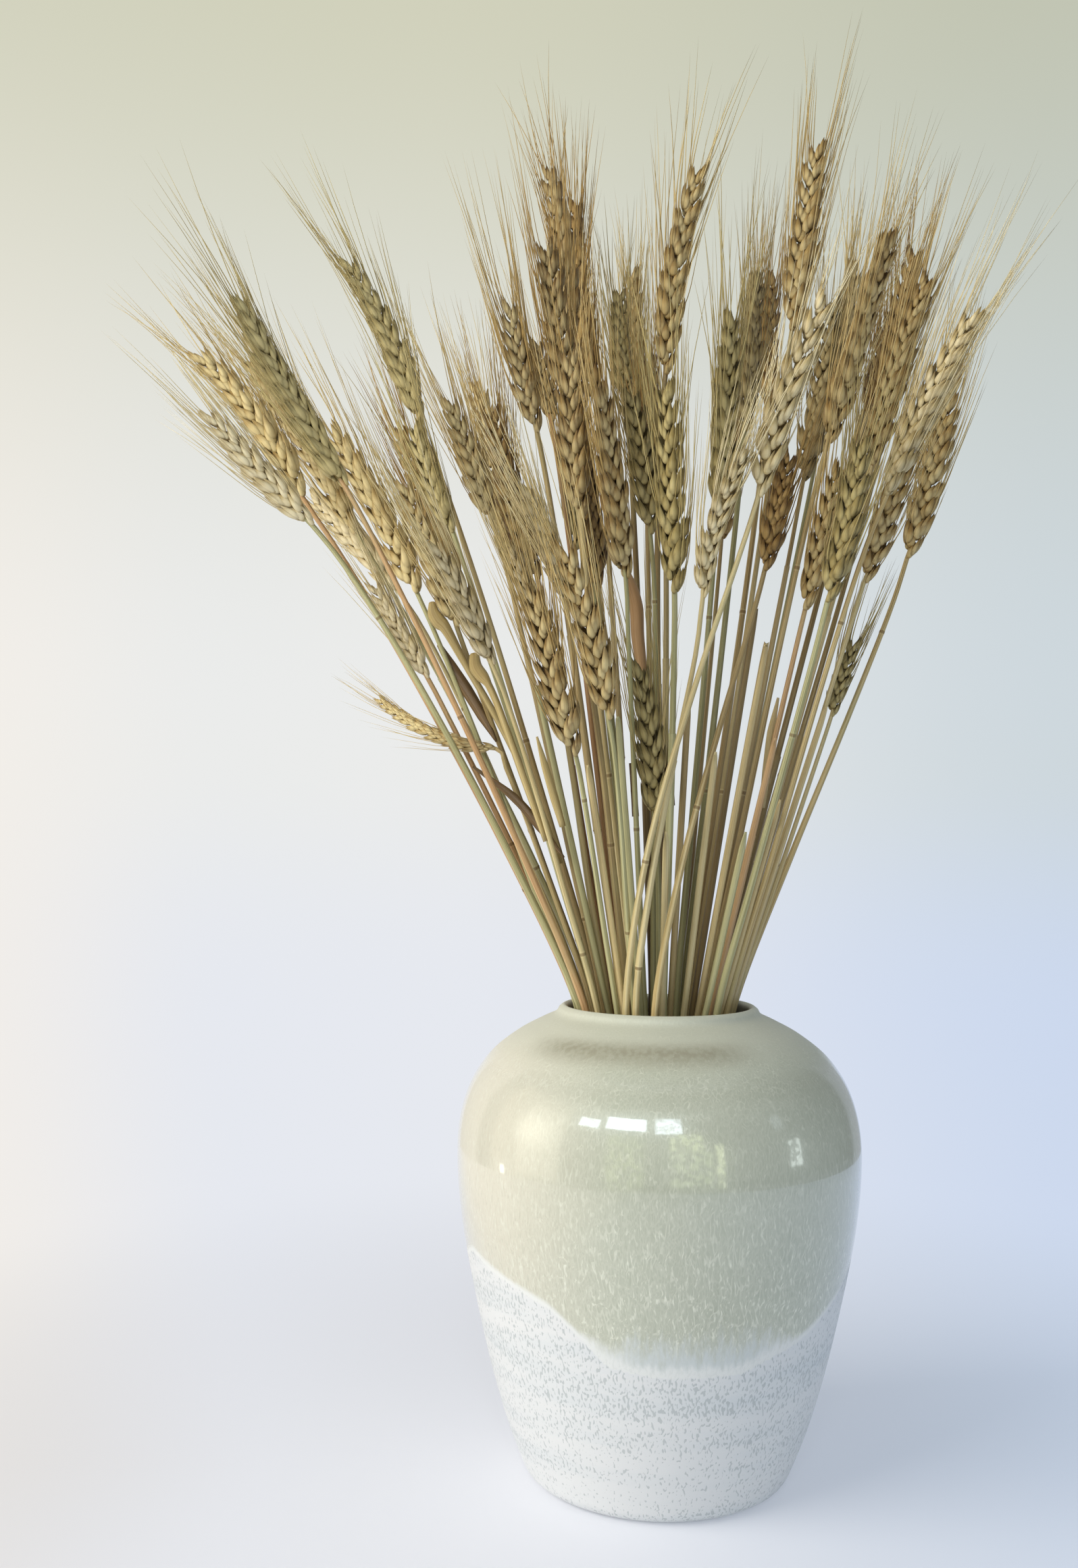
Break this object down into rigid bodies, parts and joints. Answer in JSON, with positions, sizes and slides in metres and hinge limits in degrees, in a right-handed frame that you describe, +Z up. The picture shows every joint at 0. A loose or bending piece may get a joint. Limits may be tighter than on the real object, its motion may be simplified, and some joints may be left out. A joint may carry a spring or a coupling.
{
  "type": "dried wheat in vase",
  "caption": "Loose fan of dried bearded wheat standing in a wide-shouldered, narrow-necked glazed stoneware vase that tapers to its foot.",
  "frame": {"origin": "middle of the vase's flat underside, on the surface it rests on", "axes": "+Z up along the vase's axis, -Y towards the front that the picture shows, +X to its right"},
  "size_m": [0.4717, 0.2813, 0.7084],
  "materials": {
    "glaze": "glossy sage and cream glaze over a satin off-white lower part",
    "straw_gold": "golden dry straw, matt with a soft sheen",
    "straw_pale": "bleached pale straw, matt with a soft sheen",
    "straw_green": "dry straw that has kept a grey-green cast",
    "straw_brown": "darker brown dry straw, matt",
    "straw_grey": "greyish weathered dry straw, matt"
  },
  "bodies": {
    "root": {"vase": "glaze", "stalk_01": "straw_pale", "stalk_02": "straw_gold", "stalk_03": "straw_green", "stalk_04": "straw_gold", "stalk_05": "straw_gold", "stalk_06": "straw_pale", "stalk_07": "straw_pale", "stalk_08": "straw_green", "stalk_09": "straw_green", "stalk_10": "straw_brown", "stalk_11": "straw_gold", "stalk_12": "straw_pale", "stalk_13": "straw_gold", "stalk_14": "straw_brown", "stalk_15": "straw_gold", "stalk_16": "straw_gold", "stalk_17": "straw_pale", "stalk_18": "straw_gold", "stalk_19": "straw_gold", "stalk_20": "straw_gold", "stalk_21": "straw_gold", "stalk_22": "straw_brown", "stalk_23": "straw_gold", "stalk_24": "straw_green", "stalk_25": "straw_green", "stalk_26": "straw_gold", "stalk_27": "straw_green", "stalk_28": "straw_brown", "stalk_29": "straw_green", "stalk_30": "straw_green", "stalk_31": "straw_grey", "stalk_32": "straw_brown", "stalk_33": "straw_gold", "stalk_34": "straw_pale", "stalk_35": "straw_gold", "stalk_36": "straw_grey", "stalk_37": "straw_brown", "stalk_38": "straw_gold", "stalk_39": "straw_brown", "stalk_40": "straw_pale", "stalk_41": "straw_gold", "stalk_42": "straw_gold", "stalk_43": "straw_gold", "stalk_44": "straw_green", "stalk_45": "straw_brown", "stalk_46": "straw_pale", "stalk_47": "straw_green", "stalk_48": "straw_gold", "stalk_49": "straw_pale", "stalk_50": "straw_gold", "stalk_51": "straw_brown", "stalk_52": "straw_green", "stalk_53": "straw_gold", "stalk_54": "straw_gold", "stalk_55": "straw_gold", "stalk_56": "straw_brown", "stalk_57": "straw_gold"}
  },
  "joints": []
}
